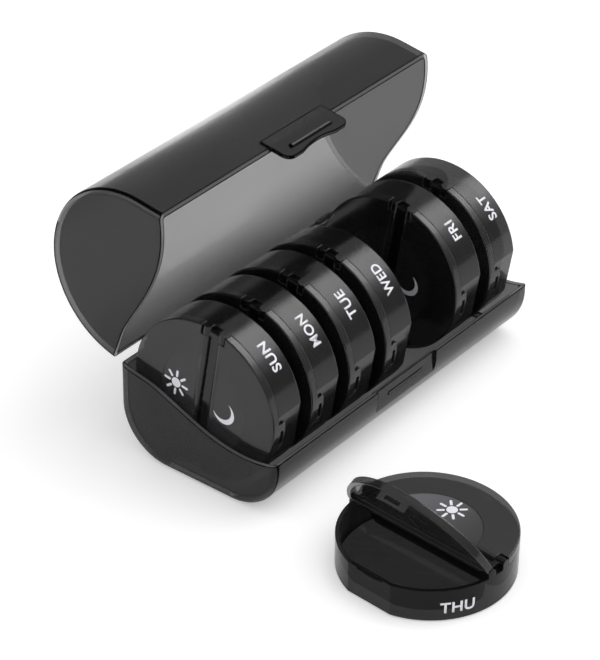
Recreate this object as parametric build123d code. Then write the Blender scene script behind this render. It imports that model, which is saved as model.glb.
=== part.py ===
from build123d import *
from math import sqrt
import os

# Weekly pill organizer: a hinged barrel case that holds seven round pods, two compartments each.
# Millimetres. X runs along the case from Sunday to Saturday, Y to the hinge side, Z up.
# The origin is the centre of the flat foot under the tray.

os.makedirs("parts", exist_ok=True)

# Days and slots
DAYS = ["sun", "mon", "tue", "wed", "thu", "fri", "sat"]
DAY_OUT = "thu"
SLOT_PITCH = 21.1

# Pod cup
POD_RADIUS = 31.0
CUP_HEIGHT = 12.6
CUP_WALL = 1.4
CUP_FLOOR = 1.4
CUP_EDGE = 1.0
POCKET_FLOOR_RADIUS = 4.5
POCKET_CORNER_RADIUS = 5.0
DIVIDER_THICKNESS = 2.4
FLAT_DEPTH = 1.4
FLAT_STEP_WIDTH = 11.0
FLAT_STEP_HEIGHT = 0.8

# Pod hinge
HINGE_SPREAD = 3.5
BARREL_RADIUS = 1.5
BARREL_GAP = 0.25
SPINE_FOOT = 1.6
SPINE_RISE = 1.6
EAR_LENGTH = 3.5
EAR_GAP = 0.2
EAR_PROUD = 0.05
EAR_BRIDGE_RISE = 0.6
EAR_NOTCH_WIDTH = 3.8
EAR_NOTCH_DEPTH = 2.0
TRUNNION_RADIUS = 0.9
TRUNNION_LENGTH = 1.6
TRUNNION_CLEARANCE = 0.05

# Pod lids
LID_THICKNESS = 3.05
LID_GAP = 0.15
LID_PLATE = 1.5
SKIRT_WALL = 1.6
LID_EDGE = 0.6
DISH_RADIUS = 18.6
DISH_DEPTH = 0.25
TAB_WIDTH = 12.0
TAB_DROP = 3.4
TAB_CLEARANCE = 0.25
WINDOW_WIDTH = 6.4
WINDOW_HEIGHT = 1.6
BUMP_WIDTH = 5.4
BUMP_HEIGHT = 1.0
BUMP_PROUD = 0.2

# Pods in the case
POD_TURN = 9.0
POD_CLEARANCE = 2.2
POD_SEAT_GAP = 0.7
THU_X = -60.5
THU_Y = -88.7
THU_TURN = -4.0
THU_LID_OPEN = 62.0

# Case shell
CASE_WALL = 1.8
CASE_FLOOR = 1.8
END_CLEARANCE = 2.1
CORNER_RADIUS = 20.0
CASE_EDGE = 2.5
CASE_INNER_EDGE = 1.2
RIM_GAP = 0.3
RIM_BACK = 35.8
RIM_SHOULDER = 32.8
RIM_MIDDLE = 24.6
RIM_DIP = 20.6
RIM_FRONT = 23.0
RIM_DIP_PLACE = 0.55
RIM_SHOULDER_PLACE = 0.6
RIM_FRONT_SLOPE = -0.35
RIM_BACK_SLOPE = 0.25
LID_OPEN = 81.5

# Slot ribs inside the tray
RIB_THICKNESS = 1.6
RIB_HALF_WIDTH = 9.0
RIB_HEIGHT = 3.6
RIB_END_RADIUS = 2.2

# Case hinge
KNUCKLE_RADIUS = 1.6
KNUCKLE_LENGTH = 8.0
KNUCKLE_GAP = 0.3
KNUCKLE_WEB = 1.6
PIN_RADIUS = 0.8
PIN_CLEARANCE = 0.05
PIN_CHAMFER = 0.2
HINGE_OUTSET = 1.8
HINGE_DROP = 1.5
HINGE_INSET = 29.1
STOP_THICKNESS = 2.0
STOP_LENGTH = 5.6
STOP_CLEARANCE = 0.05

# Case latch
LATCH_WIDTH = 34.0
LATCH_RECESS = 1.0
LATCH_BACKING = 1.2
LATCH_DROP = 9.0
LATCH_CLEARANCE = 0.25
LATCH_THICKNESS = 1.4
LATCH_CORNER = 3.5
LATCH_ROOT = 4.0
PANEL_BOTTOM = 15.0
PANEL_TOP_DROP = 1.2
PANEL_RIM_GAP = 0.6
SCOOP_WIDTH = 18.0
SCOOP_DEPTH = 1.4
CATCH_WIDTH = 20.0
CATCH_HEIGHT = 1.3
CATCH_DROP = 4.6
CATCH_PROUD = 0.2
GRIP_WIDTH = 22.0
GRIP_DROP = 4.6
GRIP_RIDGE = 0.9

# Sizes that follow from those above
pod_thickness = CUP_HEIGHT + LID_GAP + LID_THICKNESS
pod_centre_z = CASE_FLOOR + POD_SEAT_GAP + POD_RADIUS
case_half_width = POD_RADIUS + POD_CLEARANCE + CASE_WALL
case_inner_length = (len(DAYS) - 1) * SLOT_PITCH + pod_thickness + 2 * END_CLEARANCE
case_length = case_inner_length + 2 * CASE_WALL
lid_bottom = CUP_HEIGHT + LID_GAP
lid_top = lid_bottom + LID_THICKNESS
pivot_z = lid_bottom + LID_THICKNESS / 2
spine_half = HINGE_SPREAD - BARREL_RADIUS - BARREL_GAP
flat_x = POD_RADIUS - FLAT_DEPTH
ear_radius = BARREL_RADIUS + EAR_PROUD
ear_corner_y = sqrt(POD_RADIUS ** 2 - (HINGE_SPREAD + ear_radius) ** 2)
ear_inner = ear_corner_y - EAR_LENGTH
barrel_half_length = ear_inner - EAR_GAP
hinge_y = case_half_width + HINGE_OUTSET
hinge_z = RIM_BACK - HINGE_DROP
BIG = 400.0


def block(x0, x1, y0, y1, z0, z1):
    """A box between two corners."""
    centre = ((x0 + x1) / 2, (y0 + y1) / 2, (z0 + z1) / 2)
    return Pos(*centre) * Box(abs(x1 - x0), abs(y1 - y0), abs(z1 - z0))


def rod_y(x, z, y0, y1, radius):
    """A round rod along Y."""
    return Pos(x, (y0 + y1) / 2, z) * Rot(90, 0, 0) * Cylinder(radius, abs(y1 - y0))


def rod_x(y, z, x0, x1, radius):
    """A round rod along X."""
    return Pos((x0 + x1) / 2, y, z) * Rot(0, 90, 0) * Cylinder(radius, abs(x1 - x0))


# Pod, modelled lying on its back: Z towards the lids, hinge line along Y, morning side at +X

def pod_pocket(side):
    """One half-round compartment, with a rounded floor and rounded corners."""
    inner_radius = POD_RADIUS - CUP_WALL
    straight = DIVIDER_THICKNESS / 2
    outline = Circle(inner_radius)
    outline &= Pos((straight + flat_x - CUP_WALL) / 2, 0) * Rectangle(flat_x - CUP_WALL - straight, BIG)
    outline = fillet(outline.vertices(), POCKET_CORNER_RADIUS)
    pocket = Pos(0, 0, CUP_FLOOR) * extrude(outline, CUP_HEIGHT)
    pocket = fillet(pocket.faces().sort_by(Axis.Z)[0].edges(), POCKET_FLOOR_RADIUS)
    if side < 0:
        pocket = pocket.mirror(Plane.YZ)
    return pocket


def pod_cup():
    """The cup: two compartments, the hinge spine between them and a post at each end of it."""
    body = Pos(0, 0, CUP_HEIGHT / 2) * Cylinder(POD_RADIUS, CUP_HEIGHT)
    body &= block(-flat_x, flat_x, -BIG, BIG, 0, CUP_HEIGHT)
    body = fillet(body.faces().sort_by(Axis.Z)[0].edges(), CUP_EDGE)
    for side in (-1, 1):
        body -= pod_pocket(side)
        step_x = side * (flat_x - CUP_WALL / 2)
        step = block(step_x, step_x + side * BIG, -FLAT_STEP_WIDTH / 2, FLAT_STEP_WIDTH / 2,
                     CUP_HEIGHT - FLAT_STEP_HEIGHT, BIG)
        body -= step
        bump_z = lid_bottom - TAB_DROP / 2
        body += block(side * (flat_x - CUP_WALL / 2), side * (flat_x + BUMP_PROUD),
                      -BUMP_WIDTH / 2, BUMP_WIDTH / 2, bump_z - BUMP_HEIGHT / 2, bump_z + BUMP_HEIGHT / 2)
    spine_end = ear_inner + EAR_LENGTH / 3
    body += block(-spine_half, spine_half, -spine_end, spine_end,
                  CUP_HEIGHT - SPINE_FOOT, CUP_HEIGHT + SPINE_RISE)
    for end in (-1, 1):
        outside = end * POD_RADIUS
        ear = block(-HINGE_SPREAD - ear_radius, HINGE_SPREAD + ear_radius,
                    end * ear_inner, outside, CUP_FLOOR, pivot_z)
        for side in (-1, 1):
            ear += rod_y(side * HINGE_SPREAD, pivot_z, end * ear_inner, outside, ear_radius)
        ear += block(-HINGE_SPREAD, HINGE_SPREAD, end * ear_inner, outside, pivot_z, pivot_z + EAR_BRIDGE_RISE)
        ear &= Cylinder(POD_RADIUS, BIG)
        ear -= block(-EAR_NOTCH_WIDTH / 2, EAR_NOTCH_WIDTH / 2, end * (POD_RADIUS - EAR_NOTCH_DEPTH), 2 * outside,
                     CUP_HEIGHT, BIG)
        body += ear
        for side in (-1, 1):
            body -= rod_y(side * HINGE_SPREAD, pivot_z, end * (ear_inner - 1),
                          end * (barrel_half_length + TRUNNION_LENGTH + 2 * EAR_GAP),
                          TRUNNION_RADIUS + TRUNNION_CLEARANCE)
    return body


def pod_lid(side):
    """One half lid in its closed place: skirted plate, hinge barrel, trunnions and finger tab."""
    disc = Pos(0, 0, lid_bottom + LID_THICKNESS / 2) * Cylinder(POD_RADIUS, LID_THICKNESS)
    disc = fillet(disc.faces().sort_by(Axis.Z)[-1].edges(), LID_EDGE)
    lid = disc & block(HINGE_SPREAD, BIG, -BIG, BIG, 0, BIG)
    hollow = Circle(POD_RADIUS - SKIRT_WALL)
    hollow_start = HINGE_SPREAD + BARREL_RADIUS + SKIRT_WALL / 2
    hollow &= Pos(hollow_start + BIG / 2, 0) * Rectangle(BIG, BIG)
    lid -= Pos(0, 0, lid_bottom - 1) * extrude(hollow, LID_THICKNESS - LID_PLATE + 1)
    lid -= Pos(0, 0, lid_top) * Cylinder(DISH_RADIUS, 2 * DISH_DEPTH)
    cut_x = HINGE_SPREAD + ear_radius + 1.5 * EAR_GAP
    for end in (-1, 1):
        lid -= block(0, cut_x, end * barrel_half_length, end * BIG, 0, BIG)
    lid += rod_y(HINGE_SPREAD, pivot_z, -barrel_half_length, barrel_half_length, BARREL_RADIUS)
    for end in (-1, 1):
        lid += rod_y(HINGE_SPREAD, pivot_z, end * (barrel_half_length - 1),
                     end * (barrel_half_length + TRUNNION_LENGTH), TRUNNION_RADIUS)
    tab = block(flat_x + TAB_CLEARANCE, BIG, -TAB_WIDTH / 2, TAB_WIDTH / 2,
                lid_bottom - TAB_DROP, lid_bottom + LID_THICKNESS / 2)
    tab &= Pos(0, 0, CUP_HEIGHT) * Cylinder(POD_RADIUS, BIG)
    window_z = lid_bottom - TAB_DROP / 2
    tab -= block(0, BIG, -WINDOW_WIDTH / 2, WINDOW_WIDTH / 2,
                 window_z - WINDOW_HEIGHT / 2, window_z + WINDOW_HEIGHT / 2)
    lid += tab
    if side < 0:
        lid = lid.mirror(Plane.YZ)
    return lid


def opened(lid, side, angle):
    """A half lid turned up about its trunnions by an angle in degrees."""
    axis = Axis((side * HINGE_SPREAD, 0, pivot_z), (0, -side, 0))
    return lid.rotate(axis, angle)


def pod_place(day):
    """Where a pod lies: in its slot with the lids towards -X, or on the table in front."""
    if day == DAY_OUT:
        return Pos(THU_X, THU_Y, 0) * Rot(0, 0, THU_TURN)
    back_x = SLOT_PITCH * (DAYS.index(day) - (len(DAYS) - 1) / 2) + pod_thickness / 2
    upright = Plane(origin=(0, 0, 0), x_dir=(0, 1, 0), z_dir=(-1, 0, 0)).location
    return Pos(back_x, 0, pod_centre_z) * Rot(POD_TURN, 0, 0) * upright


# Case, modelled closed: one barrel shell, parted along the wavy rim

def case_section(inset, floor_inset):
    """The end-on outline: flat foot, round lower corners, straight sides and a round roof."""
    half = case_half_width - inset
    corner = CORNER_RADIUS - inset
    with BuildSketch(Plane.YZ) as section:
        with BuildLine():
            foot = Line((-half + corner, floor_inset), (half - corner, floor_inset))
            right = JernArc(foot @ 1, (1, 0), corner, 90)
            up = Line(right @ 1, (half, pod_centre_z))
            roof = ThreePointArc(up @ 1, (0, pod_centre_z + half), (-half, pod_centre_z))
            down = Line(roof @ 1, (-half, (right @ 1).Y))
            JernArc(down @ 1, (0, -1), corner, 90)
        make_face()
    return section.sketch


def rim_region(lift, above):
    """All space above or below the wavy rim, raised by a lift."""
    half = case_half_width
    points = [(-half, RIM_FRONT + lift), (-half * RIM_DIP_PLACE, RIM_DIP + lift), (0, RIM_MIDDLE + lift),
              (half * RIM_SHOULDER_PLACE, RIM_SHOULDER + lift), (half, RIM_BACK + lift)]
    far = 2 * half
    edge_z = 3 * pod_centre_z if above else -pod_centre_z
    with BuildSketch(Plane.YZ) as region:
        with BuildLine():
            wave = Spline(*points, tangents=[(1, RIM_FRONT_SLOPE), (1, RIM_BACK_SLOPE)])
            Polyline(wave @ 1, (far, RIM_BACK + lift), (far, edge_z), (-far, edge_z),
                     (-far, RIM_FRONT + lift), wave @ 0)
        make_face()
    return Pos(-case_length, 0, 0) * extrude(region.sketch, 2 * case_length)


def case_shell():
    """The whole closed case, hollow, with softened end edges."""
    outer = Pos(-case_length / 2, 0, 0) * extrude(case_section(0, 0), case_length)
    ends = outer.faces().filter_by(Axis.X)
    outer = fillet(ends.edges(), CASE_EDGE)
    inner = Pos(-case_inner_length / 2, 0, 0) * extrude(case_section(CASE_WALL, CASE_FLOOR), case_inner_length)
    inner_ends = inner.faces().filter_by(Axis.X)
    return outer - fillet(inner_ends.edges(), CASE_INNER_EDGE)


def hinge_stations():
    """The middle of each hinge group along X."""
    station = case_length / 2 - HINGE_INSET
    return (-station, station)


def knuckle(x0, x1, web_low, web_high):
    """One hinge knuckle, the web that joins it to the wall and the strap between the two."""
    part = rod_x(hinge_y, hinge_z, x0, x1, KNUCKLE_RADIUS)
    part += block(x0, x1, case_half_width - CASE_WALL, hinge_y, web_low, web_high)
    part += block(x0, x1, hinge_y - KNUCKLE_RADIUS, hinge_y, min(web_low, hinge_z), max(web_high, hinge_z))
    return part


def pin_bore(x0, x1):
    """The hole that the hinge pin runs in."""
    return rod_x(hinge_y, hinge_z, x0, x1, PIN_RADIUS + PIN_CLEARANCE)


def slot_ribs():
    """The low ribs on the tray's floor, one between each two slots."""
    ribs = []
    first_rib = -(len(DAYS) - 2) / 2
    for number in range(len(DAYS) - 1):
        x = SLOT_PITCH * (first_rib + number)
        rib = block(x - RIB_THICKNESS / 2, x + RIB_THICKNESS / 2, -RIB_HALF_WIDTH, RIB_HALF_WIDTH,
                    CASE_FLOOR, CASE_FLOOR + RIB_HEIGHT)
        top_edges = rib.edges().filter_by(Axis.X).group_by(Axis.Z)[-1]
        ribs.append(fillet(top_edges, RIB_END_RADIUS))
    return Compound(children=ribs)


def end_wall(tray, side):
    """The plate that closes one end of the tray, cut off at the wall's inner face."""
    inner_end = side * case_inner_length / 2
    return tray & block(inner_end, inner_end + side * BIG, -BIG, BIG, -BIG, BIG)


def case_tray(shell):
    """The tray: lower shell, latch panel and the outer hinge knuckles."""
    front = -case_half_width
    tray = shell - rim_region(0, True)
    panel_low = RIM_FRONT - LATCH_DROP - LATCH_CLEARANCE
    tray += block(-LATCH_WIDTH / 2, LATCH_WIDTH / 2, front + CASE_WALL / 2, front + CASE_WALL + LATCH_BACKING,
                  PANEL_BOTTOM, RIM_FRONT - PANEL_TOP_DROP) - rim_region(-PANEL_RIM_GAP, True)
    side = LATCH_WIDTH / 2 + LATCH_CLEARANCE
    tray -= block(-side, side, front - 1, front + LATCH_RECESS, panel_low, BIG / 4)
    catch_z = RIM_FRONT - CATCH_DROP
    tray += block(-CATCH_WIDTH / 2, CATCH_WIDTH / 2, front + LATCH_RECESS - CATCH_PROUD,
                  front + LATCH_RECESS + CASE_WALL / 2, catch_z - CATCH_HEIGHT / 2, catch_z + CATCH_HEIGHT / 2)
    pitch = KNUCKLE_LENGTH + KNUCKLE_GAP
    for station in hinge_stations():
        for end in (-1, 1):
            middle = station + end * pitch
            x0 = middle - KNUCKLE_LENGTH / 2
            x1 = middle + KNUCKLE_LENGTH / 2
            tray += knuckle(x0, x1, hinge_z - KNUCKLE_RADIUS, hinge_z)
            tray -= pin_bore(x0 - 1, x1 + 1)
    return tray


def latch_tab():
    """The tongue on the lid's free edge, with rounded corners, a finger scoop and a grip ridge."""
    front = -case_half_width
    top = RIM_FRONT + RIM_GAP + LATCH_ROOT
    bottom = RIM_FRONT - LATCH_DROP
    outer = front + LATCH_RECESS - LATCH_CLEARANCE - LATCH_THICKNESS
    tab = block(-LATCH_WIDTH / 2, LATCH_WIDTH / 2, outer, outer + LATCH_THICKNESS, bottom, top)
    low_corners = tab.edges().filter_by(Axis.Y).group_by(Axis.Z)[0]
    tab = fillet(low_corners, LATCH_CORNER)
    scoop_radius = (SCOOP_WIDTH ** 2 / 4 + SCOOP_DEPTH ** 2) / (2 * SCOOP_DEPTH)
    tab -= rod_y(0, bottom + SCOOP_DEPTH - scoop_radius, front - 2 * CASE_WALL, front + 2 * CASE_WALL, scoop_radius)
    ridge = rod_x(outer, RIM_FRONT - GRIP_DROP, -GRIP_WIDTH / 2, GRIP_WIDTH / 2, GRIP_RIDGE)
    return tab + ridge


def case_lid(shell):
    """The lid in its closed place: upper shell, latch tab, middle knuckles and stops."""
    lid = shell - rim_region(RIM_GAP, False)
    web_low = RIM_BACK + RIM_GAP
    for station in hinge_stations():
        x0 = station - KNUCKLE_LENGTH / 2
        x1 = station + KNUCKLE_LENGTH / 2
        lid += knuckle(x0, x1, web_low, web_low + KNUCKLE_WEB)
        stop_face = HINGE_OUTSET - STOP_CLEARANCE
        stop = block(x0, x1, hinge_y - stop_face, hinge_y - stop_face + STOP_THICKNESS,
                     hinge_z - STOP_LENGTH, hinge_z)
        lid += stop.rotate(Axis((0, hinge_y, hinge_z), (1, 0, 0)), LID_OPEN)
        lid -= pin_bore(x0 - 1, x1 + 1)
    return lid + latch_tab()


def hinge_pin(station):
    """A plain steel pin through one hinge group."""
    half = KNUCKLE_LENGTH * 1.5 + KNUCKLE_GAP
    pin = rod_x(hinge_y, hinge_z, station - half, station + half, PIN_RADIUS)
    return chamfer(pin.edges(), PIN_CHAMFER)


def write(shape, node):
    """Name one piece and write it."""
    solids = shape.solids()
    piece = solids[0] if len(solids) == 1 else Compound(children=list(solids))
    piece.label = node
    export_step(piece, f"parts/{node}.step")


# Every piece in its place at rest
closed_shell = case_shell()
whole_tray = case_tray(closed_shell)
open_tray = whole_tray
for end_name, end_side in (("tray_end_sun", -1), ("tray_end_sat", 1)):
    plate = end_wall(whole_tray, end_side)
    write(plate, end_name)
    open_tray = open_tray - plate
write(open_tray, "case_tray")
write(slot_ribs(), "slot_ribs")
hinge_axis = Axis((0, hinge_y, hinge_z), (1, 0, 0))
write(case_lid(closed_shell).rotate(hinge_axis, -LID_OPEN), "case_lid")
for pin_name, pin_x in zip(("hinge_pin_left", "hinge_pin_right"), hinge_stations()):
    write(hinge_pin(pin_x), pin_name)

cup = pod_cup()
am_lid = pod_lid(1)
pm_lid = pod_lid(-1)
for day in DAYS:
    place = pod_place(day)
    write(place * cup, f"{day}_cup")
    write(place * am_lid, f"{day}_am_lid")
    pm_angle = THU_LID_OPEN if day == DAY_OUT else 0
    write(place * opened(pm_lid, -1, pm_angle), f"{day}_pm_lid")
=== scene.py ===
from math import cos, pi, radians, sin
from types import SimpleNamespace

import bmesh
import bpy
from mathutils import Matrix, Vector


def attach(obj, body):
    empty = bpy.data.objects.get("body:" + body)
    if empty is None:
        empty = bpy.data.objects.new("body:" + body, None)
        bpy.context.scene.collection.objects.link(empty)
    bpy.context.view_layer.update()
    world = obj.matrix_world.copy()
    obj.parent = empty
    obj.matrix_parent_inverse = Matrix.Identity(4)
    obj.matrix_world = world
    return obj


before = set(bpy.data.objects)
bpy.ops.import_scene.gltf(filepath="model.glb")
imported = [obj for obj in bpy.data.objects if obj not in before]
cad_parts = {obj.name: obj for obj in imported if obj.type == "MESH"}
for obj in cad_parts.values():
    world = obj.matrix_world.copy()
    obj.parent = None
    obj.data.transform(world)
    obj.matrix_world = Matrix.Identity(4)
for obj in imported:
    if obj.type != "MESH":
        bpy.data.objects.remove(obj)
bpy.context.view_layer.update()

# Sizes in metres, the same as in the CAD
MM = 0.001
DAYS = ["sun", "mon", "tue", "wed", "thu", "fri", "sat"]
DAY_OUT = "thu"
SLOT_PITCH = 21.1 * MM
POD_RADIUS = 31.0 * MM
LID_BOTTOM = 12.75 * MM
LID_THICKNESS = 3.05 * MM
LID_TOP = LID_BOTTOM + LID_THICKNESS
DISH_RADIUS = 18.6 * MM
DISH_DEPTH = 0.25 * MM
PIVOT_Z = LID_BOTTOM + LID_THICKNESS / 2
HINGE_SPREAD = 3.5 * MM
POD_CENTRE_Z = 33.5 * MM
POD_TURN = radians(9.0)
THU_PLACE = Vector((-60.5 * MM, -88.7 * MM, 0.0))
THU_TURN = radians(-4.0)
THU_LID_OPEN = radians(62.0)
CASE_HINGE = Vector((0.0, 36.8 * MM, 34.3 * MM))
CASE_LID_OPEN = radians(81.5)
CASE_HALF_WIDTH = 35.0 * MM
CASE_WALL = 1.8 * MM
CASE_INNER_END = 73.3 * MM
LATCH_HALF = 17.2 * MM
LATCH_TOP = 23.4 * MM
RIM_LOWEST = 19.8 * MM
RIM_HIGHEST = 37.6 * MM

MORNING = 1
EVENING = -1


def pod_matrix(day):
    """From a pod lying on its back at the origin to where that day's pod is."""
    if day == DAY_OUT:
        return Matrix.Translation(THU_PLACE) @ Matrix.Rotation(THU_TURN, 4, "Z")
    back_x = SLOT_PITCH * (DAYS.index(day) - (len(DAYS) - 1) / 2) + LID_TOP / 2
    upright = Matrix(((0, 0, -1, 0), (1, 0, 0, 0), (0, -1, 0, 0), (0, 0, 0, 1)))
    place = Matrix.Translation(Vector((back_x, 0.0, POD_CENTRE_Z)))
    return place @ Matrix.Rotation(POD_TURN, 4, "X") @ upright


def lid_matrix(day, side):
    """The same for a half lid, turned up about its hinge if it is the open one."""
    if day == DAY_OUT and side == EVENING:
        pivot = Vector((side * HINGE_SPREAD, 0.0, PIVOT_Z))
        turn = Matrix.Rotation(THU_LID_OPEN, 4, Vector((0.0, -side, 0.0)))
        return pod_matrix(day) @ Matrix.Translation(pivot) @ turn @ Matrix.Translation(-pivot)
    return pod_matrix(day)


def case_lid_matrix():
    """From the closed lid to the open one."""
    turn = Matrix.Rotation(-CASE_LID_OPEN, 4, "X")
    return Matrix.Translation(CASE_HINGE) @ turn @ Matrix.Translation(-CASE_HINGE)


# Shader helpers
COOLNESS = 1.06


def new_material(name):
    """A material with nodes, its node tree and its shader."""
    mat = bpy.data.materials.new(name)
    mat.use_nodes = True
    return mat, mat.node_tree, mat.node_tree.nodes["Principled BSDF"]


def node(tree, kind, **inputs):
    """A shader node with some of its inputs set."""
    made = tree.nodes.new(kind)
    for name, value in inputs.items():
        made.inputs[name.replace("_", " ")].default_value = value
    return made


def put(tree, socket, value):
    """Links a socket to another, or sets its value."""
    if isinstance(value, bpy.types.NodeSocket):
        tree.links.new(value, socket)
    else:
        socket.default_value = value


def calc(tree, operation, *values):
    """One step of arithmetic."""
    made = tree.nodes.new("ShaderNodeMath")
    made.operation = operation
    for socket, value in zip(made.inputs, values):
        put(tree, socket, value)
    return made.outputs["Value"]


def rise(tree, value, start, end, low=0.0, high=1.0):
    """A smooth change from low to high as the value goes from start to end."""
    made = tree.nodes.new("ShaderNodeMapRange")
    made.interpolation_type = "SMOOTHSTEP"
    given = {"Value": value, "From Min": start, "From Max": end, "To Min": low, "To Max": high}
    for name, setting in given.items():
        put(tree, made.inputs[name], setting)
    return made.outputs["Result"]


def choose(tree, mask, unmasked, masked):
    """One number where the mask is 0 and another where it is 1."""
    return rise(tree, mask, 0.0, 1.0, unmasked, masked)


def between(tree, value, start, end):
    """1 where the value lies between start and end, and 0 elsewhere."""
    return calc(tree, "COMPARE", value, (start + end) / 2, (end - start) / 2)


def both(tree, first, *others):
    """1 where all the masks are 1."""
    for other in others:
        first = calc(tree, "MULTIPLY", first, other)
    return first


def at_least(tree, value, mask, floor):
    """The value, raised to a lowest one where the mask is 1."""
    return calc(tree, "MAXIMUM", value, calc(tree, "MULTIPLY", mask, floor))


def blend_colours(tree, share, first, second):
    """A mix of two colours."""
    made = tree.nodes.new("ShaderNodeMix")
    made.data_type = "RGBA"
    put(tree, made.inputs["Factor"], share)
    put(tree, made.inputs["A"], first)
    put(tree, made.inputs["B"], second)
    return made.outputs["Result"]


def grey(value):
    """A neutral colour, a touch cool as smoky plastic is."""
    return (value, value, value * COOLNESS, 1.0)


def noise(tree, coords, scale, detail, roughness=0.5):
    """Even noise from 0 to 1, fixed to the surface."""
    made = node(tree, "ShaderNodeTexNoise", Scale=scale, Detail=detail, Roughness=roughness)
    tree.links.new(coords, made.inputs["Vector"])
    return made.outputs["Fac"]


def local_axes(tree, matrix):
    """Place and direction of the surface, seen from the frame that the matrix starts from."""
    coords = tree.nodes.new("ShaderNodeTexCoord")
    back = matrix.inverted()
    place = tree.nodes.new("ShaderNodeMapping")
    place.inputs["Location"].default_value = back.to_translation()
    place.inputs["Rotation"].default_value = back.to_euler("XYZ")
    tree.links.new(coords.outputs["Object"], place.inputs["Vector"])
    facing = tree.nodes.new("ShaderNodeMapping")
    facing.inputs["Rotation"].default_value = back.to_euler("XYZ")
    tree.links.new(coords.outputs["Normal"], facing.inputs["Vector"])
    found = []
    for source in (place, facing):
        split = tree.nodes.new("ShaderNodeSeparateXYZ")
        tree.links.new(source.outputs["Vector"], split.inputs["Vector"])
        found.append([split.outputs[axis] for axis in "XYZ"])
    return coords.outputs["Object"], found[0], found[1]


# Smoky plastic: its density is the share of the light that one surface stops
PLASTIC_IOR = 1.52
CLOUD_SCALE = 38.0
CLOUD_RANGE = (0.35, 0.68)
CLOUD_SHADES = (0.85, 1.15)
HANDLING_SCALE = 120.0
HANDLING_RANGE = (0.3, 0.75)
HANDLING_ROUGHNESS = (0.75, 1.4)
MOULD_GRAIN_SCALE = 420.0
MOULD_GRAIN_STRENGTH = 0.02
MOULD_GRAIN_DEPTH = 0.02 * MM
# Painted edge lines: along sharp edges the colour is set to one grey and the plastic made denser, dark
# lines standing in for the shade that the edges of clear plastic show; on the pods that grey is a little
# paler than the body
EDGE_RADIUS = 0.3 * MM
EDGE_SAMPLES = 8
LINE_SAMPLES = 12
EDGE_LEAN = (0.93, 0.996)
EDGE_DENSITY = 0.97


def painted_edge_line_mask(tree, bevel):
    """1 along sharp edges, where the dark edge lines are painted, and 0 elsewhere, from how far the
    bevelled normal leans.
    """
    geometry = tree.nodes.new("ShaderNodeNewGeometry")
    lean = tree.nodes.new("ShaderNodeVectorMath")
    lean.operation = "DOT_PRODUCT"
    tree.links.new(bevel.outputs["Normal"], lean.inputs[0])
    tree.links.new(geometry.outputs["Normal"], lean.inputs[1])
    return rise(tree, lean.outputs["Value"], *EDGE_LEAN, 1.0, 0.0)


def smoky_plastic(name, shade, roughness, matrix=None, gloss=0.5, painted_edge_shade=0.002, edge_gloss=0.0,
                  line_width=None):
    """Glossy smoke-tinted plastic: uneven tint, handling marks, softened edges with painted dark lines
    along them.

    Returns the material and its parts, which the caller needs to vary the tint and density.
    """
    mat, tree, shader = new_material(name)
    shader.inputs["IOR"].default_value = PLASTIC_IOR
    coords, place, facing = local_axes(tree, matrix or Matrix.Identity(4))

    clouds = rise(tree, noise(tree, coords, CLOUD_SCALE, 5.0, 0.6), *CLOUD_RANGE)
    tint = blend_colours(tree, clouds, *(grey(shade * share) for share in CLOUD_SHADES))

    handling = noise(tree, coords, HANDLING_SCALE, 6.0, 0.7)
    rough_range = [roughness * share for share in HANDLING_ROUGHNESS]
    tree.links.new(rise(tree, handling, *HANDLING_RANGE, *rough_range), shader.inputs["Roughness"])

    soft = node(tree, "ShaderNodeBevel", Radius=EDGE_RADIUS)
    soft.samples = EDGE_SAMPLES
    wide = soft
    if line_width:
        wide = node(tree, "ShaderNodeBevel", Radius=line_width)
        wide.samples = LINE_SAMPLES
    grain = noise(tree, coords, MOULD_GRAIN_SCALE, 2.0)
    bump = node(tree, "ShaderNodeBump", Strength=MOULD_GRAIN_STRENGTH, Distance=MOULD_GRAIN_DEPTH)
    tree.links.new(grain, bump.inputs["Height"])
    tree.links.new(soft.outputs["Normal"], bump.inputs["Normal"])
    tree.links.new(bump.outputs["Normal"], shader.inputs["Normal"])
    return mat, SimpleNamespace(tree=tree, shader=shader, place=place, facing=facing, tint=tint,
                                edge=painted_edge_line_mask(tree, wide), painted_edge_shade=painted_edge_shade, gloss=gloss,
                                edge_gloss=edge_gloss)


def finish_plastic(parts, tint, density, painted_line=0.0, dull=0.0):
    """Joins tint and density to the shader.

    The edges and the line mask are painted in the edge grey, the painted dark lines, and made denser, and
    they and the dull mask have less gloss.
    """
    tree, shader = parts.tree, parts.shader
    edge = calc(tree, "MAXIMUM", parts.edge, painted_line)
    colour = blend_colours(tree, edge, tint, grey(parts.painted_edge_shade))
    tree.links.new(colour, shader.inputs["Base Color"])
    tree.links.new(at_least(tree, density, edge, EDGE_DENSITY), shader.inputs["Alpha"])
    matt = calc(tree, "MAXIMUM", edge, dull)
    gloss = choose(tree, matt, parts.gloss, parts.gloss * parts.edge_gloss)
    tree.links.new(gloss, shader.inputs["Specular IOR Level"])


# The case: places on the shut lid, and the densities and greys there
CASE_SHADE = 0.008
RIM_FLATNESS = 0.03
RIM_UPRIGHTNESS = 0.4
RIM_DENSITY = 0.92

LID_ROUGHNESS = 0.2
LID_GLOSS = 0.3
LID_LINE = 1.1 * MM
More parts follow.
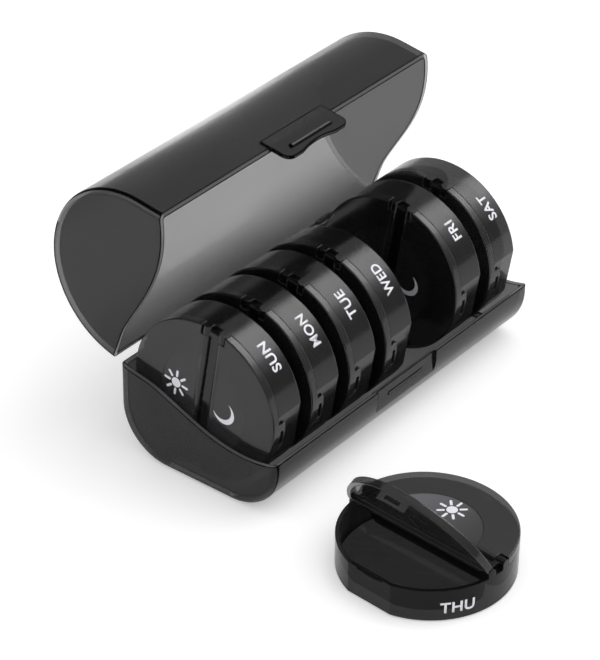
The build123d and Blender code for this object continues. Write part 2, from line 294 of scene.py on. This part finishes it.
# Painted shade and light in the lid's density: denser low on the back towards the hinge, clearest in the
# middle of the crown
LID_BACK_HEIGHTS = (36.0 * MM, 58.0 * MM)
LID_BACK_DENSITIES = (0.76, 0.48)
LID_CROWN_LENGTHS = (10.0 * MM, 62.0 * MM)
LID_CROWN_DENSITIES = (0.22, 0.76)
LID_FRONT_DEPTHS = (-36.0 * MM, -20.0 * MM)
LID_FRONT_DENSITY = 0.87
LID_TOP_DEPTHS = (-19.0 * MM, 4.0 * MM)
LID_END_DENSITIES = (0.77, 0.66)
LID_END_REACH = 0.2 * MM
# Painted light: the rim's cut faces are painted pale, as if lit through, palest at the ends
LID_RIM_LIT_SHADE = 0.09
SUN_END_RIM_LIT_SHADES = (0.2, 0.5)
SAT_END_RIM_LIT_SHADE = 0.55

# The case lid's corners, by how far the surface faces outward along the case: a painted dark line round
# the rounded corners, a painted highlight where they meet the front, and a painted highlight on the
# inside corners
CORNER_LEAN = (0.18, 0.92)
GLINT_LEAN = (0.66, 0.92)
GLINT_DEPTH = -8.0 * MM
PAINTED_GLINT_SHADE = 0.08
DULL_LEAN = (0.90, 0.996)
INNER_CORNER_LEAN = (-0.9, -0.3)
INNER_CORNER_HIGHLIGHT_SHADE = 0.25

TAB_SHADE = 0.004
TAB_DENSITY = 0.96

TRAY_ROUGHNESS = 0.16
TRAY_LINE = 0.8 * MM
TRAY_GLOSS = 0.3
TRAY_DENSITY = 0.78
TRAY_RIM_LIT_SHADE = 0.14
JOINT_FACING = 0.98
JOINT_REACH = 0.05 * MM
TRAY_END_GLOSS = 0.36
TRAY_END_DENSITY = 0.66


def rim_mask(parts, upward):
    """1 on the cut faces along the wavy rim, whose normals have no part along X."""
    tree, height = parts.tree, parts.place[2]
    level = calc(tree, "LESS_THAN", calc(tree, "ABSOLUTE", parts.facing[0]), RIM_FLATNESS)
    turned = calc(tree, "GREATER_THAN", calc(tree, "MULTIPLY", parts.facing[2], upward), RIM_UPRIGHTNESS)
    above = calc(tree, "GREATER_THAN", height, RIM_LOWEST)
    below = calc(tree, "LESS_THAN", height, RIM_HIGHEST)
    return both(tree, level, turned, above, below)


def case_lid_shaded_density(parts, length, at_end):
    """Painted shade and light: clearest in the middle of the crown as a painted light band, denser
    towards the hinge as painted shade, and denser towards the ends and the front; the Sunday end is
    denser than the Saturday end.
    """
    tree = parts.tree
    x, y, z = parts.place
    back = rise(tree, z, *LID_BACK_HEIGHTS, *LID_BACK_DENSITIES)
    crown = rise(tree, length, *LID_CROWN_LENGTHS, *LID_CROWN_DENSITIES)
    front = rise(tree, y, *LID_FRONT_DEPTHS, LID_FRONT_DENSITY, crown)
    barrel = rise(tree, y, *LID_TOP_DEPTHS, front, back)
    end_wall = rise(tree, x, -CASE_INNER_END, CASE_INNER_END, *LID_END_DENSITIES)
    return choose(tree, at_end, barrel, end_wall)


def case_lid_rim_painted_light(parts, at_end):
    """Painted light on the cut faces: dark along the lid and pale at its ends, at the Sunday end more so
    towards the hinge.
    """
    tree = parts.tree
    x, y, _ = parts.place
    depth = rise(tree, y, -CASE_HALF_WIDTH, CASE_HALF_WIDTH)
    sun_end = blend_colours(tree, depth, *(grey(shade) for shade in SUN_END_RIM_LIT_SHADES))
    at_sat = calc(tree, "GREATER_THAN", x, 0.0)
    ends = blend_colours(tree, at_sat, sun_end, grey(SAT_END_RIM_LIT_SHADE))
    return blend_colours(tree, at_end, grey(LID_RIM_LIT_SHADE), ends)


def case_lid_plastic():
    """The lid of the case, with painted dark corner lines and painted highlights on its corners, cut
    faces painted pale as painted light, and a dark latch tab.
    """
    mat, parts = smoky_plastic("case_smoke_lid", CASE_SHADE, LID_ROUGHNESS, case_lid_matrix(), LID_GLOSS,
                               line_width=LID_LINE)
    tree = parts.tree
    x, y, z = parts.place
    length = calc(tree, "ABSOLUTE", x)
    at_end = calc(tree, "GREATER_THAN", length, CASE_INNER_END - LID_END_REACH)
    density = case_lid_shaded_density(parts, length, at_end)

    outward = calc(tree, "MULTIPLY", parts.facing[0], calc(tree, "SIGN", x))
    at_front = calc(tree, "LESS_THAN", y, GLINT_DEPTH)
    # Painted highlight on the front of the rounded corners and on the inside corners, a painted dark line
    # on the rest of the rounded corners, and less gloss on the back of them
    painted_glint = both(tree, between(tree, outward, *GLINT_LEAN), at_front)
    painted_line = calc(tree, "SUBTRACT", between(tree, outward, *CORNER_LEAN), painted_glint)
    dull = calc(tree, "SUBTRACT", between(tree, outward, *DULL_LEAN), at_front)
    tint = blend_colours(tree, painted_glint, parts.tint, grey(PAINTED_GLINT_SHADE))
    tint = blend_colours(tree, between(tree, outward, *INNER_CORNER_LEAN), tint, grey(INNER_CORNER_HIGHLIGHT_SHADE))

    tab = both(tree, calc(tree, "LESS_THAN", length, LATCH_HALF), calc(tree, "LESS_THAN", z, LATCH_TOP),
               calc(tree, "LESS_THAN", y, -CASE_HALF_WIDTH + CASE_WALL))
    tint = blend_colours(tree, tab, tint, grey(TAB_SHADE))
    density = at_least(tree, density, tab, TAB_DENSITY)

    rim = both(tree, rim_mask(parts, -1.0), calc(tree, "SUBTRACT", 1.0, tab))
    tint = blend_colours(tree, rim, tint, case_lid_rim_painted_light(parts, at_end))
    density = at_least(tree, density, rim, RIM_DENSITY)
    finish_plastic(parts, tint, density, painted_line, dull)
    return mat


def tray_finish(parts, density):
    """What the tray and its end walls share: a strip along the rim painted paler as painted light,
    between painted dark lines.
    """
    rim = rim_mask(parts, 1.0)
    tint = blend_colours(parts.tree, rim, parts.tint, grey(TRAY_RIM_LIT_SHADE))
    finish_plastic(parts, tint, at_least(parts.tree, density, rim, RIM_DENSITY))


def case_tray_plastic():
    """The tray of the case, clear where its ends are joined on."""
    mat, parts = smoky_plastic("case_smoke_tray", CASE_SHADE, TRAY_ROUGHNESS, gloss=TRAY_GLOSS,
                               line_width=TRAY_LINE)
    tree = parts.tree
    length = calc(tree, "ABSOLUTE", parts.place[0])
    sideways = calc(tree, "GREATER_THAN", calc(tree, "ABSOLUTE", parts.facing[0]), JOINT_FACING)
    joint = both(tree, sideways, calc(tree, "COMPARE", length, CASE_INNER_END, JOINT_REACH))
    tray_finish(parts, choose(tree, joint, TRAY_DENSITY, 0.0))
    return mat


def tray_end_plastic():
    """The tray's end walls, the same plastic without the hidden joint."""
    mat, parts = smoky_plastic("case_smoke_end", CASE_SHADE, TRAY_ROUGHNESS, gloss=TRAY_END_GLOSS,
                               line_width=TRAY_LINE)
    tray_finish(parts, TRAY_END_DENSITY)
    return mat


# The pods
CUP_SHADE = 0.006
CUP_ROUGHNESS = 0.15
CUP_PAINTED_EDGE_SHADE = 0.012
CUP_DENSITY = 0.84
CUP_GLOSS = 0.36
# The cup that stands out is a shaded copy of the same plastic: denser and less glossy, so it reads darker
# than the cups in the case
CUP_OUT_DENSITY = 0.93
CUP_OUT_GLOSS = 0.14

POD_LID_SHADE = 0.014
POD_LID_ROUGHNESS = 0.13
POD_LID_PAINTED_EDGE_SHADE = 0.035
POD_LID_DENSITY = 0.76
DISH_FACING = 0.9
# Painted reflection in the dish: its grey goes from the first shade to the second across it; the morning
# lid of the pod that stands out gets a lit copy, much paler
DISH_REFLECTION_SHADES = (0.02, 0.035)
DISH_OUT_REFLECTION_SHADES = (0.03, 0.16)


def cup_plastic(name, density, gloss):
    """The pods' cups: denser smoke, nearly black where two walls overlap."""
    mat, parts = smoky_plastic(name, CUP_SHADE, CUP_ROUGHNESS, gloss=gloss, painted_edge_shade=CUP_PAINTED_EDGE_SHADE,
                               edge_gloss=1.0)
    finish_plastic(parts, parts.tint, density)
    return mat


def lid_plastic(name, matrix, dish_reflection_shades=DISH_REFLECTION_SHADES):
    """A half lid, its dished middle paler, with a painted reflection across it."""
    mat, parts = smoky_plastic(name, POD_LID_SHADE, POD_LID_ROUGHNESS, matrix,
                               painted_edge_shade=POD_LID_PAINTED_EDGE_SHADE, edge_gloss=1.0)
    tree = parts.tree
    x, y, _ = parts.place
    squares = [calc(tree, "MULTIPLY", side, side) for side in (x, y)]
    reach = calc(tree, "SQRT", calc(tree, "ADD", *squares))
    middle = both(tree, calc(tree, "LESS_THAN", reach, DISH_RADIUS),
                  calc(tree, "GREATER_THAN", parts.facing[2], DISH_FACING))
    # Painted reflection: a gradient across the dish
    share = rise(tree, y, -DISH_RADIUS, DISH_RADIUS)
    dish_reflection = blend_colours(tree, share, *(grey(shade) for shade in dish_reflection_shades))
    finish_plastic(parts, blend_colours(tree, middle, parts.tint, dish_reflection), POD_LID_DENSITY)
    return mat


# Ink and steel
INK_ROUGHNESS = 0.45
INK_GRAIN_SCALE = 1800.0
INK_SHADES = (0.86, 0.97)
INK_BUMP_STRENGTH = 0.1
INK_BUMP_DEPTH = 0.01 * MM
STEEL_COLOUR = (0.6, 0.6, 0.61, 1.0)
STEEL_LINE_SCALE = (60.0, 4000.0, 4000.0)
STEEL_ROUGHNESS = (0.18, 0.38)


def print_ink():
    """White pad-printed ink, a little uneven."""
    mat, tree, shader = new_material("label_white")
    shader.inputs["Roughness"].default_value = INK_ROUGHNESS
    coords = tree.nodes.new("ShaderNodeTexCoord").outputs["Object"]
    grain = noise(tree, coords, INK_GRAIN_SCALE, 3.0)
    tint = blend_colours(tree, grain, *(grey(shade) for shade in INK_SHADES))
    tree.links.new(tint, shader.inputs["Base Color"])
    bump = node(tree, "ShaderNodeBump", Strength=INK_BUMP_STRENGTH, Distance=INK_BUMP_DEPTH)
    tree.links.new(grain, bump.inputs["Height"])
    tree.links.new(bump.outputs["Normal"], shader.inputs["Normal"])
    return mat


def pin_steel():
    """Bright drawn wire with fine lines along X."""
    mat, tree, shader = new_material("pin_steel")
    shader.inputs["Metallic"].default_value = 1.0
    shader.inputs["Base Color"].default_value = STEEL_COLOUR
    stretch = node(tree, "ShaderNodeMapping", Scale=STEEL_LINE_SCALE)
    tree.links.new(tree.nodes.new("ShaderNodeTexCoord").outputs["Object"], stretch.inputs["Vector"])
    lines = noise(tree, stretch.outputs["Vector"], 1.0, 2.0)
    tree.links.new(rise(tree, lines, 0.0, 1.0, *STEEL_ROUGHNESS), shader.inputs["Roughness"])
    return mat


def dress_all():
    """Every CAD node in the finish that the real piece has."""
    tray = case_tray_plastic()
    ends = tray_end_plastic()
    steel = pin_steel()
    cup = cup_plastic("cup_smoke", CUP_DENSITY, CUP_GLOSS)
    cup_out_shaded = cup_plastic("cup_smoke_out_shaded", CUP_OUT_DENSITY, CUP_OUT_GLOSS)
    stowed = lid_plastic("lid_smoke", pod_matrix(DAYS[0]))
    out_am_lit = lid_plastic("lid_smoke_out_am_lit", lid_matrix(DAY_OUT, MORNING), DISH_OUT_REFLECTION_SHADES)
    out_pm = lid_plastic("lid_smoke_out_pm", lid_matrix(DAY_OUT, EVENING))
    finishes = {"case_lid": case_lid_plastic(), "case_tray": tray, "slot_ribs": tray,
                "tray_end_sun": ends, "tray_end_sat": ends,
                "hinge_pin_left": steel, "hinge_pin_right": steel}
    for day in DAYS:
        finishes[f"{day}_cup"] = cup_out_shaded if day == DAY_OUT else cup
        finishes[f"{day}_am_lid"] = out_am_lit if day == DAY_OUT else stowed
        finishes[f"{day}_pm_lid"] = out_pm if day == DAY_OUT else stowed
    for name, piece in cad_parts.items():
        piece.data.materials.clear()
        piece.data.materials.append(finishes[name])


ink = print_ink()
dress_all()

# Printed marks
PRINT_THICKNESS = 0.08 * MM
PRINT_LIFT = 0.01 * MM
LETTER_BOLDNESS = 0.022
LETTER_SPACING = 1.06
LABEL_ANGLE = radians(-125.0)
LABEL_ANGLE_OUT = radians(-120.5)
LABEL_HEIGHT = 4.3 * MM
LABEL_MIDDLE_Z = 6.1 * MM
LABEL_MIDDLE_Z_OUT = 5.5 * MM
LABEL_PITCH = 4.1 * MM
LABEL_STRIPS = 26
SUN_PLACE = 12.6 * MM
SUN_CORE = 1.95 * MM
SUN_CORE_SIDES = 36
RAY_START = 2.45 * MM
RAY_END = 5.35 * MM
RAY_WIDTH = 0.95 * MM
RAYS = 8
MOON_PLACE = 9.0 * MM
MOON_RADIUS = 4.6 * MM
MOON_BITE = 4.2 * MM
MOON_SHIFT = 1.5 * MM
MOON_TURN = radians(135.0)


def solid_print(bm, thickness):
    """Turns flat faces at z = 0 into a thin printed layer."""
    faces = list(bm.faces)
    made = bmesh.ops.extrude_face_region(bm, geom=faces)
    raised = [v for v in made["geom"] if isinstance(v, bmesh.types.BMVert)]
    bmesh.ops.translate(bm, vec=(0.0, 0.0, thickness), verts=raised)
    bmesh.ops.recalc_face_normals(bm, faces=bm.faces)


def add_print(name, bm, matrix, body):
    """Makes a printed piece, puts it in its place and ties it to its body."""
    mesh = bpy.data.meshes.new(name)
    bmesh.ops.transform(bm, matrix=matrix, verts=bm.verts)
    bmesh.ops.recalc_face_normals(bm, faces=bm.faces)
    bm.to_mesh(mesh)
    bm.free()
    piece = bpy.data.objects.new(name, mesh)
    bpy.context.collection.objects.link(piece)
    mesh.materials.append(ink)
    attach(piece, body)


def on_lid(day, side, distance):
    """From a mark at the origin to its place on the dished face of a half lid."""
    offset = Vector((side * distance, 0.0, LID_TOP - DISH_DEPTH + PRINT_LIFT))
    return lid_matrix(day, side) @ Matrix.Translation(offset)


def outline_face(bm, points):
    """One flat face through a ring of points."""
    return bm.faces.new([bm.verts.new((x, y, 0.0)) for x, y in points])


def ray_outline(angle, steps=6):
    """A sun ray: a short bar with round ends."""
    half = RAY_WIDTH / 2
    points = []
    for start, middle in ((pi / 2, RAY_START + half), (-pi / 2, RAY_END - half)):
        for step in range(steps + 1):
            turn = start + pi * step / steps
            points.append((middle + half * cos(turn), half * sin(turn)))
    return [(x * cos(angle) - y * sin(angle), x * sin(angle) + y * cos(angle)) for x, y in points]


def sun_mark(day):
    """A plain sun on the morning lid."""
    bm = bmesh.new()
    turns = [2 * pi * number / SUN_CORE_SIDES for number in range(SUN_CORE_SIDES)]
    outline_face(bm, [(SUN_CORE * cos(turn), SUN_CORE * sin(turn)) for turn in turns])
    for number in range(RAYS):
        outline_face(bm, ray_outline(2 * pi * number / RAYS))
    solid_print(bm, PRINT_THICKNESS)
    add_print(f"{day}_sun_mark", bm, on_lid(day, MORNING, SUN_PLACE), f"{day}_am")


def moon_mark(day, steps=40):
    """A plain crescent on the evening lid, a strip between its outer and inner arcs."""
    reach = (MOON_RADIUS ** 2 - MOON_BITE ** 2 + MOON_SHIFT ** 2) / (2 * MOON_SHIFT)
    height = (MOON_RADIUS ** 2 - reach ** 2) ** 0.5
    outer_start = Vector((1.0, 0.0)).angle(Vector((reach, height)))
    inner_start = Vector((1.0, 0.0)).angle(Vector((reach - MOON_SHIFT, height)))
    bm = bmesh.new()
    pairs = []
    for step in range(steps + 1):
        share = step / steps
        outer = outer_start + (2 * pi - 2 * outer_start) * share
        inner = inner_start + (2 * pi - 2 * inner_start) * share
        far = bm.verts.new((MOON_RADIUS * cos(outer), MOON_RADIUS * sin(outer), 0.0))
        if step in (0, steps):
            pairs.append((far, far))
        else:
            near = bm.verts.new((MOON_SHIFT + MOON_BITE * cos(inner), MOON_BITE * sin(inner), 0.0))
            pairs.append((far, near))
    for first, second in zip(pairs, pairs[1:]):
        ring = [first[0], second[0], second[1], first[1]]
        bm.faces.new(list(dict.fromkeys(ring)))
    solid_print(bm, PRINT_THICKNESS)
    turn = Matrix.Rotation(MOON_TURN + pi, 4, "Z")
    add_print(f"{day}_moon_mark", bm, on_lid(day, EVENING, MOON_PLACE) @ turn, f"{day}_pm")


def letters(text):
    """The flat mesh of a short text, in the plain built-in font."""
    curve = bpy.data.curves.new(f"{text}_letters", "FONT")
    curve.body = text
    curve.size = 1.0
    curve.offset = LETTER_BOLDNESS
    curve.space_character = LETTER_SPACING
    holder = bpy.data.objects.new(f"{text}_letters", curve)
    mesh = bpy.data.meshes.new_from_object(holder)
    bpy.data.objects.remove(holder)
    bpy.data.curves.remove(curve)
    bm = bmesh.new()
    bm.from_mesh(mesh)
    bpy.data.meshes.remove(mesh)
    return bm


def day_label(day):
    """The day's three letters, wrapped round the side of the cup."""
    bm = letters(day.upper())
    xs = [v.co.x for v in bm.verts]
    ys = [v.co.y for v in bm.verts]
    scale = LABEL_HEIGHT / (max(ys) - min(ys))
    width = (max(xs) - min(xs)) * scale
    squeeze = min(1.0, LABEL_PITCH * len(day) / width)
    for v in bm.verts:
        v.co.x = (v.co.x - (max(xs) + min(xs)) / 2) * scale * squeeze
        v.co.y = (v.co.y - (max(ys) + min(ys)) / 2) * scale
    for number in range(1, LABEL_STRIPS):
        x = -width * squeeze / 2 + width * squeeze * number / LABEL_STRIPS
        whole = list(bm.verts) + list(bm.edges) + list(bm.faces)
        bmesh.ops.bisect_plane(bm, geom=whole, plane_co=(x, 0, 0), plane_no=(1, 0, 0))
    solid_print(bm, PRINT_THICKNESS)
    middle, height = LABEL_ANGLE, LABEL_MIDDLE_Z
    if day == DAY_OUT:
        middle, height = LABEL_ANGLE_OUT, LABEL_MIDDLE_Z_OUT
    for v in bm.verts:
        angle = middle + v.co.x / POD_RADIUS
        radius = POD_RADIUS + PRINT_LIFT + v.co.z
        v.co = Vector((radius * cos(angle), radius * sin(angle), height + v.co.y))
    add_print(f"{day}_label", bm, pod_matrix(day), f"{day}_pod")


for day in DAYS:
    sun_mark(day)
    moon_mark(day)
    day_label(day)


# Floor and light
WHITE = (1.0, 1.0, 1.0, 1.0)
FLOOR_SIZE = 6.0
FLOOR_COLOUR = (0.86, 0.86, 0.86, 1.0)
FLOOR_ROUGHNESS = 0.9
FLOOR_LIFT = 0.35
HORIZON_COLOUR = (0.6, 0.6, 0.6, 1.0)
HORIZON_FADE = (0.0, 0.9)
WORLD_STRENGTH = 0.8
KEY_STRENGTH = 0.9
KEY_SPREAD = radians(50.0)
KEY_TURN = (radians(18.0), radians(24.0), 0.0)
PANEL_STRENGTH = 3.4
PANEL_NEAR_EDGE = (radians(80.0), radians(90.0))
PANEL_FAR_EDGE = (radians(106.0), radians(160.0))
PANEL_SIDE_EDGE = (0.25, 0.55)


def seen_directly(tree):
    """1 for the camera, mirrors and glass, which are to see the white background."""
    path = tree.nodes.new("ShaderNodeLightPath")
    seen = calc(tree, "MAXIMUM", path.outputs["Is Camera Ray"], path.outputs["Is Glossy Ray"])
    return calc(tree, "MAXIMUM", seen, path.outputs["Is Transmission Ray"])


def studio_floor():
    """A plain pale floor that is part of the stage: white to the eye, with the object's shadow."""
    bm = bmesh.new()
    bmesh.ops.create_grid(bm, x_segments=1, y_segments=1, size=FLOOR_SIZE / 2)
    mesh = bpy.data.meshes.new("floor")
    bm.to_mesh(mesh)
    bm.free()
    floor = bpy.data.objects.new("floor", mesh)
    bpy.context.collection.objects.link(floor)
    mat, tree, shader = new_material("floor")
    shader.inputs["Base Color"].default_value = FLOOR_COLOUR
    shader.inputs["Roughness"].default_value = FLOOR_ROUGHNESS
    shader.inputs["Specular IOR Level"].default_value = 0.0
    shader.inputs["Emission Color"].default_value = WHITE
    lift = calc(tree, "MULTIPLY", seen_directly(tree), FLOOR_LIFT)
    tree.links.new(lift, shader.inputs["Emission Strength"])
    mesh.materials.append(mat)


def studio_world():
    """A pale dome, white to the camera, with a panel that only gloss shows.

    The panel stands to the right, and its angles are measured about X, from +Y up over the top.
    """
    world = bpy.data.worlds.new("studio")
    bpy.context.scene.world = world
    world.use_nodes = True
    tree = world.node_tree
    dome = tree.nodes["Background"]
    path = tree.nodes.new("ShaderNodeLightPath")
    split = tree.nodes.new("ShaderNodeSeparateXYZ")
    tree.links.new(tree.nodes.new("ShaderNodeTexCoord").outputs["Generated"], split.inputs["Vector"])
    x, y, z = (split.outputs[axis] for axis in "XYZ")
    tint = blend_colours(tree, rise(tree, z, *HORIZON_FADE), HORIZON_COLOUR, WHITE)
    tree.links.new(tint, dome.inputs["Color"])
    angle = calc(tree, "ARCTAN2", z, y)
    panel = both(tree, rise(tree, angle, *PANEL_NEAR_EDGE), rise(tree, angle, *PANEL_FAR_EDGE, 1.0, 0.0),
                 rise(tree, x, *PANEL_SIDE_EDGE), path.outputs["Is Glossy Ray"])
    strength = calc(tree, "MULTIPLY_ADD", panel, PANEL_STRENGTH, WORLD_STRENGTH)
    tree.links.new(strength, dome.inputs["Strength"])
    white = node(tree, "ShaderNodeBackground", Color=WHITE, Strength=1.0)
    choice = tree.nodes.new("ShaderNodeMixShader")
    tree.links.new(path.outputs["Is Camera Ray"], choice.inputs[0])
    tree.links.new(dome.outputs["Background"], choice.inputs[1])
    tree.links.new(white.outputs["Background"], choice.inputs[2])
    tree.links.new(choice.outputs["Shader"], tree.nodes["World Output"].inputs["Surface"])


def studio_key():
    """A broad soft key light from above."""
    light = bpy.data.lights.new("key", "SUN")
    light.energy = KEY_STRENGTH
    light.angle = KEY_SPREAD
    key = bpy.data.objects.new("key", light)
    key.rotation_euler = KEY_TURN
    bpy.context.collection.objects.link(key)


# The photograph's camera, solved on the pods' circles
CAMERA_PLACE = Vector((-0.6896, -0.5262, 0.6006))
CAMERA_AZIMUTH = radians(-51.93)
CAMERA_ELEVATION = radians(33.53)
CAMERA_ROLL = radians(0.69)
FOCAL_PIXELS = 2877.5
IMAGE_LONG_SIDE = 660.0
SENSOR = 36.0


def photo_camera():
    """The camera at the photograph's viewpoint."""
    data = bpy.data.cameras.new("camera")
    data.sensor_width = SENSOR
    data.lens = FOCAL_PIXELS * SENSOR / IMAGE_LONG_SIDE
    data.clip_start = 0.01
    data.clip_end = 20.0
    back = Vector((sin(CAMERA_AZIMUTH) * cos(CAMERA_ELEVATION),
                   -cos(CAMERA_AZIMUTH) * cos(CAMERA_ELEVATION), sin(CAMERA_ELEVATION)))
    level_right = Vector((cos(CAMERA_AZIMUTH), sin(CAMERA_AZIMUTH), 0.0))
    level_up = back.cross(level_right)
    right = level_right * cos(CAMERA_ROLL) + level_up * sin(CAMERA_ROLL)
    up = back.cross(right)
    turn = Matrix((right, up, back)).transposed().to_4x4()
    camera = bpy.data.objects.new("camera", data)
    camera.matrix_world = Matrix.Translation(CAMERA_PLACE) @ turn
    bpy.context.collection.objects.link(camera)
    bpy.context.scene.camera = camera


studio_floor()
studio_world()
studio_key()
photo_camera()
bpy.context.scene.view_settings.view_transform = "Standard"
